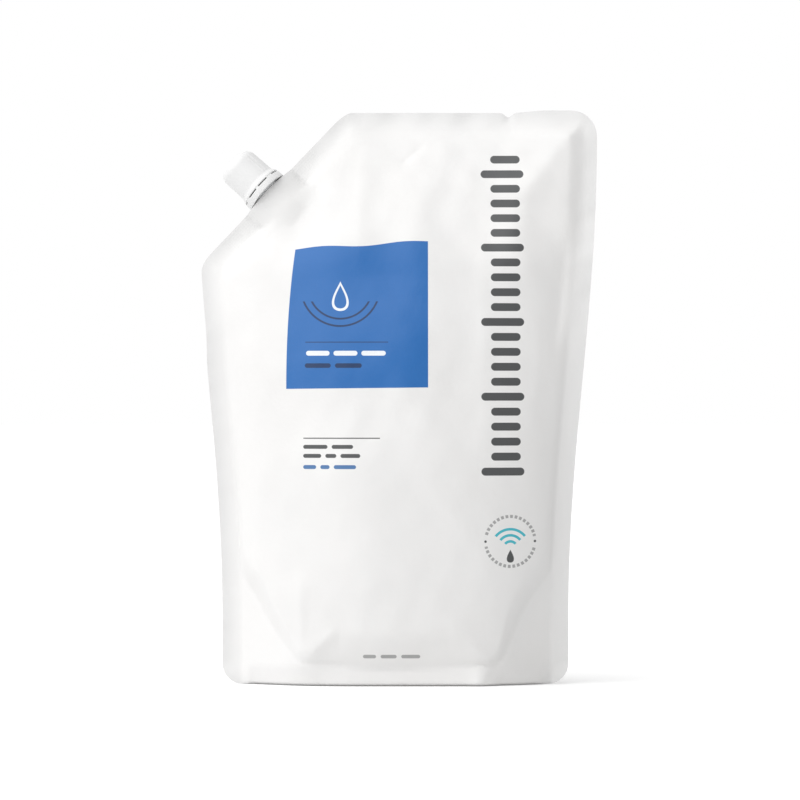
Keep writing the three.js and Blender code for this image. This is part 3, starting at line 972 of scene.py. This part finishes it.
BOAT_RIB, BOAT_RIB_PITCH = 0.35, 2.9  # the ribs that the film is welded to
THREAD_START, THREAD_TURNS = 9.4, 2.4
DISC_LOW, DISC_TOP, DISC_RADIUS, DISC_ROUND = 20.5, 21.5, 7.5, 0.3


def cap_wall(height, sizes):
    """Radius of the outside of the cap between its lower edge and the round of its top."""
    grip, flare = sizes.cap_radius / MM, sizes.skirt_radius / MM
    draft = DRAFT * np.clip((height - FLARE_TOP) / (CAP_TOP - FLARE_TOP), 0, 1)
    return grip + (flare - grip) * (1 - smooth(height, CAP_LOW + 0.4, FLARE_TOP)) - draft


def cap_profile(sizes):
    """Outline of the cap's section, from the middle of its top round to the middle of its roof."""
    edge = sizes.edge_radius / MM
    turn = CAP_TOP - edge
    wall = cap_wall(turn, sizes)
    low = CAP_LOW + CAP_ROUND
    shoulder = arc((wall - edge, turn - DOME / 3), edge, 74, 0, 14)
    share = np.linspace(0, 1, 9)[:-1]
    peak = CAP_TOP + DOME
    outline = list(zip(share * shoulder[0][0], peak - (peak - shoulder[0][1]) * share ** 2))
    outline += shoulder
    outline += [(cap_wall(height, sizes), height) for height in np.linspace(turn, low, 22)[1:]]
    outline += arc((cap_wall(CAP_LOW, sizes) - CAP_ROUND, low), CAP_ROUND, -15, -90, 4)
    outline += arc((CAP_BORE + CAP_ROUND, low), CAP_ROUND, -90, -180, 4)
    outline += [(CAP_BORE, height) for height in np.linspace(5.5, CAP_ROOF - 2, 7)]
    outline += arc((CAP_ROOF_RADIUS, CAP_ROOF - 1), 1, 0, 90, 5)
    return outline + [(0, CAP_ROOF)]


def rib_shape(sizes, material):
    """The grip ribs of one group, each a low round ridge up the wall of the cap."""
    half = sizes.rib_width / MM / 2
    heights = np.linspace(RIB_LOW, RIB_TOP, 26)
    share = np.linspace(-1, 1, 9)
    ends = np.sqrt(np.clip(1 - np.abs(np.linspace(-1, 1, len(heights))) ** 12, 0, 1))
    wall = cap_wall(heights, sizes)[:, None]
    proud = sizes.rib_relief / MM * (1 - share ** 2) * ends[:, None] - 0.12
    radius = np.hstack([wall + proud, np.repeat(wall - 0.5, len(share), axis=1)])
    level = np.repeat(heights[:, None], radius.shape[1], axis=1)
    points, faces = [], []
    for angle in RIB_ANGLES:
        front = math.radians(angle) + share * half / wall
        turn = np.hstack([front, front[:, ::-1]])
        start = len(points) * radius.size
        last = start + radius.size - radius.shape[1]
        shape = np.stack([radius * np.sin(turn), -radius * np.cos(turn), level], axis=-1)
        points.append(shape.reshape(-1, 3))
        faces += (grid_faces(*radius.shape, wrap_columns=True) + start).tolist()
        faces += [range(start + radius.shape[1] - 1, start - 1, -1), range(last, start + radius.size)]
    return mesh_from("rib", np.concatenate(points), faces, material)


def ring_block(inner, outer, low, high, degrees, material):
    """A block that follows a ring, with its edges softened."""
    steps = max(3, round(degrees / 3))
    turn = np.radians(np.linspace(-degrees / 2, degrees / 2, steps + 1))
    corners = ((inner, low), (outer, low), (outer, high), (inner, high))
    points = [(radius * math.sin(angle), -radius * math.cos(angle), level)
              for angle in turn for radius, level in corners]
    faces = grid_faces(len(turn), 4, wrap_columns=True).tolist()
    faces += [range(3, -1, -1), range(4 * steps, 4 * steps + 4)]
    mesh = mesh_from("block", points, faces, material)
    work = bmesh.new()
    work.from_mesh(mesh)
    sharp = [edge for edge in work.edges if edge.calc_face_angle(0) > 0.9]
    bmesh.ops.bevel(work, geom=sharp, offset=BLOCK_ROUND * MM, segments=2, affect="EDGES")
    work.to_mesh(mesh)
    work.free()
    return mesh


def lens_radius(angle, half_length, half_width):
    """Radius at an angle of a pointed oval with parabolic sides."""
    bow = half_width * np.cos(angle) ** 2 / half_length ** 2
    rise = np.abs(np.sin(angle))
    return np.where(bow > 1e-9, (np.sqrt(rise ** 2 + 4 * half_width * bow) - rise) / (2 * bow + 1e-12),
                    half_width / np.maximum(rise, 1e-9))


def spout_mesh(material, columns=192):
    """Weld base, neck with its bead, and the bore through both, as one wall that closes on itself."""
    angle = np.linspace(0, 2 * math.pi, columns, endpoint=False)
    rows = []
    for height in np.linspace(BOAT_FOOT, BOAT_TOP, 60):
        from_end = min(height - BOAT_FOOT, BOAT_TOP - height)
        wave = math.sin((height - BOAT_FOOT - 0.7) / BOAT_RIB_PITCH * 2 * math.pi)
        rib = BOAT_RIB * max(0.0, wave) ** 0.5
        inset = corner_pull(from_end, 0.4)
        rows.append((height, lens_radius(angle, BOAT_LENGTH - inset, BOAT_WIDTH - inset + rib)))
    outline = [(NECK_RADIUS, BOAT_TOP + 0.1), (NECK_RADIUS, BEAD_LOW - 0.4)]
    outline += arc((BEAD_RADIUS - 0.3, BEAD_LOW + 0.3), 0.3, -90, 0, 4)
    outline += arc((BEAD_RADIUS - 0.5, BEAD_TOP - 0.5), 0.5, 0, 90, 4)
    outline += [(NECK_RADIUS, BEAD_TOP + 0.5), (NECK_RADIUS, MOUTH - 2)]
    outline += arc((MOUTH_RADIUS - 0.4, MOUTH - 0.4), 0.4, 0, 90, 4)
    outline += arc((BORE_LIP + 0.15, MOUTH - 0.15), 0.15, 90, 180, 3)
    outline += [(BORE_NECK, MOUTH - 0.8), (BORE_NECK, 1.5), (BORE_BASE, -1.0), (BORE_BASE, BOAT_FOOT)]
    rows += [(height, np.full(columns, radius)) for radius, height in outline]
    points = ring_points(np.array([row[1] for row in rows]), [row[0] for row in rows], columns)
    faces = grid_faces(len(rows), columns, wrap_rows=True, wrap_columns=True)
    return mesh_from("spout", points, faces, material)


def thread(name, material, ridge, radius, start, turns):
    """A helical thread ridge. Its place round the axis is shared by the neck and the cap."""
    values = {
        "Radius": radius * MM, "Pitch": PITCH * MM, "Turns": turns, "Start": start * MM,
        "Ridge": ridge, "Material": material,
    }
    return grown(name, bpy.data.meshes.new(name), thread_group(), values)


def ride_as(piece, body, slot, *nodes):
    """Gives a finished piece its body and hides the CAD nodes that it stands for. slot is not used."""
    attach(piece, body)
    if nodes:
        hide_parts(*nodes)


# ---------------------------------------------------------------- Operators


class POUCH_OT_film(bpy.types.Operator):
    """Make the welded film of the pouch, with its print"""

    bl_idname = "pouch.film"
    bl_label = "Film"

    def execute(self, context):
        sizes = context.scene.pouch_film
        piece = link("pouch_film", film_mesh(PouchForm(sizes), film_material(sizes)))
        ride_as(piece, "pack", "film", "pouch")
        return {"FINISHED"}


class POUCH_OT_spout(bpy.types.Operator):
    """Make the spout: its weld base, neck, bead and thread"""

    bl_idname = "pouch.spout"
    bl_label = "Spout"

    def execute(self, context):
        sizes = context.scene.pouch_closure
        material = moulded_material("spout_plastic", sizes.natural, 2200.0, 0.34, 0.00003)
        ride_as(in_closure("spout_body", spout_mesh(material)), "pack", "spout_plastic", "spout")
        ridge = thread("spout_thread", material, sizes.ridge, NECK_RADIUS, THREAD_START, THREAD_TURNS)
        ride_as(ridge, "pack", "spout_plastic")
        return {"FINISHED"}


class POUCH_OT_tamper_band(bpy.types.Operator):
    """Make the tamper band with the bridges to the cap and the lugs under the bead"""

    bl_idname = "pouch.tamper_band"
    bl_label = "Tamper Band"

    def execute(self, context):
        sizes = context.scene.pouch_closure
        material = moulded_material("band_plastic", sizes.plastic, 1800.0, 0.36, 0.00004)
        outer, inner = BAND_OUTER - BAND_ROUND, BAND_INNER + BAND_INNER_ROUND
        outline = arc((outer, BAND_TOP - BAND_ROUND), BAND_ROUND, 90, 0, 5)
        outline += arc((outer, BAND_LOW + BAND_ROUND), BAND_ROUND, 0, -90, 5)
        outline += arc((inner, BAND_LOW + BAND_INNER_ROUND), BAND_INNER_ROUND, 270, 180, 3)
        outline += arc((inner, BAND_TOP - BAND_INNER_ROUND), BAND_INNER_ROUND, 180, 90, 3)
        ring_piece = in_closure("tamper_ring", turned("tamper_ring", outline, material))
        ride_as(ring_piece, "pack", "cap_plastic", "tamper_band")
        group = copies_group()
        low, high = BAND_TOP - 0.3, CAP_LOW + 0.12
        for name, degrees, first in BRIDGES:
            block = ring_block(BAND_INNER + 0.15, BAND_OUTER - 0.25, low, high, degrees, material)
            values = {"Copies": sizes.bridges, "First turn": math.radians(first), "Material": material}
            ride_as(grown(name, block, group, values), "pack", "cap_plastic")
        low = BAND_LOW + 0.3
        block = ring_block(BEAD_RADIUS - 0.5, BAND_INNER + 0.3, low, low + LUG_HEIGHT, LUG_WIDTH, material)
        values = {"Copies": sizes.lugs, "First turn": 0.0, "Material": material}
        ride_as(grown("band_lugs", block, group, values), "pack", "cap_plastic")
        return {"FINISHED"}


class POUCH_OT_sealing_disc(bpy.types.Operator):
    """Make the foam disc that seals the mouth inside the cap"""

    bl_idname = "pouch.sealing_disc"
    bl_label = "Sealing Disc"

    def execute(self, context):
        material = foam_material(context.scene.pouch_closure.foam)
        edge = DISC_RADIUS - DISC_ROUND
        outline = [(0, DISC_TOP)] + arc((edge, DISC_TOP - DISC_ROUND), DISC_ROUND, 90, 0, 5)
        outline += arc((edge, DISC_LOW + DISC_ROUND), DISC_ROUND, 0, -90, 5) + [(0, DISC_LOW)]
        piece = in_closure("foam_disc", turned("foam_disc", outline, material, 96))
        ride_as(piece, "liner", "disc_foam", "sealing_disc")
        return {"FINISHED"}


class POUCH_OT_screw_cap(bpy.types.Operator):
    """Make the screw cap with its grip ribs and inner thread"""

    bl_idname = "pouch.screw_cap"
    bl_label = "Screw Cap"

    def execute(self, context):
        sizes = context.scene.pouch_closure
        material = moulded_material("cap_plastic", sizes.plastic, 1800.0, 0.36, 0.00004)
        shell = in_closure("cap_shell", turned("cap_shell", cap_profile(sizes), material))
        ride_as(shell, "cap", "cap_plastic", "screw_cap")
        values = {"Copies": sizes.rib_pairs, "First turn": 0.0, "Material": material}
        ribs = grown("grip_ribs", rib_shape(sizes, material), copies_group(), values)
        ride_as(ribs, "cap", "cap_plastic")
        start = THREAD_START - PITCH / 2
        ridge = thread("cap_thread", material, sizes.ridge, CAP_BORE + 0.1, start, THREAD_TURNS)
        ride_as(ridge, "cap", "cap_plastic")
        return {"FINISHED"}


AMBIENT, FROM_ABOVE, FROM_LEFT, FROM_BEHIND = 0.17, 0.45, 0.45, 0.4  # light from all round
KEY_DIRECTION, KEY_WIDTH = (0.48, 0.55, -0.72), 75  # the way the key light shines, and its width in degrees
FLOOR_HALF = 30000
SENSOR = 36


class POUCH_OT_stage(bpy.types.Operator):
    """Set up the floor, the soft light all round, the key light and the camera"""

    bl_idname = "pouch.stage"
    bl_label = "Stage"

    def execute(self, context):
        sizes = context.scene.pouch_stage
        self.add_floor(sizes)
        self.add_light(context.scene, sizes)
        self.add_camera(context.scene, sizes)
        context.scene.view_settings.view_transform = "Standard"
        return {"FINISHED"}

    def add_floor(self, sizes):
        """A wide pale floor, which throws less of its light on the pouch than the camera sees of it."""
        material, tree = new_material("floor")
        seen = tree.add("ShaderNodeLightPath", None, None, output="Is Camera Ray")
        bounce = tuple(level * sizes.bounce for level in sizes.floor)
        base = tree.mix(seen, bounce, tuple(sizes.floor))
        glow = {"Emission_Color": (1, 1, 1, 1), "Emission_Strength": sizes.glow}
        grain = tree.noise(tree.place(), 40.0)
        finish_material(tree, base, 0.9, grain, 0.0, Specular_IOR_Level=0.0, **glow)
        half = FLOOR_HALF
        corners = [(-half, -half, 0), (half, -half, 0), (half, half, 0), (-half, half, 0)]
        link("floor", mesh_from("floor", corners, [(0, 1, 2, 3)], material))

    def add_light(self, scene, sizes):
        """Light from all round, brighter above, to the left and behind, and a soft key light."""
        world = bpy.data.worlds.new("studio")
        world.use_nodes = True
        scene.world = world
        tree = Tree(world.node_tree)
        place = tree.add("ShaderNodeTexCoord", None, None, output="Generated")
        right, ahead, up = tree.parts(place)
        lit = AMBIENT + up.at_least(0.0) * FROM_ABOVE
        lit = lit + (0.0 - right).at_least(0.0) * FROM_LEFT + ahead.at_least(0.0) * FROM_BEHIND
        seen = tree.add("ShaderNodeLightPath", None, None, output="Is Camera Ray")
        values = {"Color": (1, 1, 1, 1), "Strength": lit * sizes.fill * (1 - seen) + seen}
        shader = tree.add("ShaderNodeBackground", None, values)
        tree.add("ShaderNodeOutputWorld", None, {"Surface": shader})
        light = bpy.data.lights.new("key", "SUN")
        light.energy = sizes.key
        light.angle = math.radians(KEY_WIDTH)
        key = link("key", light)
        key.rotation_euler = Vector(KEY_DIRECTION).to_track_quat("-Z", "Y").to_euler()

    def add_camera(self, scene, sizes):
        """A camera that looks level at the front, from far enough to keep its lines parallel."""
        data = bpy.data.cameras.new("camera")
        data.sensor_width = SENSOR
        data.lens = SENSOR * sizes.distance / sizes.across
        data.clip_end = 100
        camera = link("camera", data)
        camera.location = (sizes.offset, -sizes.distance, sizes.height)
        camera.rotation_euler = (math.pi / 2, 0, 0)
        scene.camera = camera


class POUCH_PT_panel(bpy.types.Panel):
    """Sizes, colours and pieces of the refill pouch"""

    bl_idname = "POUCH_PT_panel"
    bl_label = "Refill Pouch"
    bl_space_type = "VIEW_3D"
    bl_region_type = "UI"
    bl_category = "Pouch"

    def draw(self, context):
        for group in GROUPS:
            box = self.layout.box()
            settings = getattr(context.scene, group)
            for name in settings.bl_rna.properties.keys():
                if name not in ("rna_type", "name"):
                    box.prop(settings, name)
        for operator in OPERATORS:
            self.layout.operator(operator.bl_idname)


GROUPS = {"pouch_film": FilmSettings, "pouch_closure": ClosureSettings, "pouch_stage": StageSettings}
OPERATORS = (
    POUCH_OT_stage, POUCH_OT_film, POUCH_OT_spout, POUCH_OT_tamper_band, POUCH_OT_sealing_disc,
    POUCH_OT_screw_cap,
)


def register():
    for cls in (*GROUPS.values(), *OPERATORS, POUCH_PT_panel):
        bpy.utils.register_class(cls)
    for name, cls in GROUPS.items():
        setattr(bpy.types.Scene, name, PointerProperty(type=cls))


def unregister():
    for name in GROUPS:
        delattr(bpy.types.Scene, name)
    for cls in (POUCH_PT_panel, *reversed(OPERATORS), *GROUPS.values()):
        bpy.utils.unregister_class(cls)


def main():
    register()
    bpy.ops.pouch.stage()
    bpy.ops.pouch.film()
    bpy.ops.pouch.spout()
    bpy.ops.pouch.tamper_band()
    bpy.ops.pouch.sealing_disc()
    bpy.ops.pouch.screw_cap()


if __name__ == "__main__":
    main()
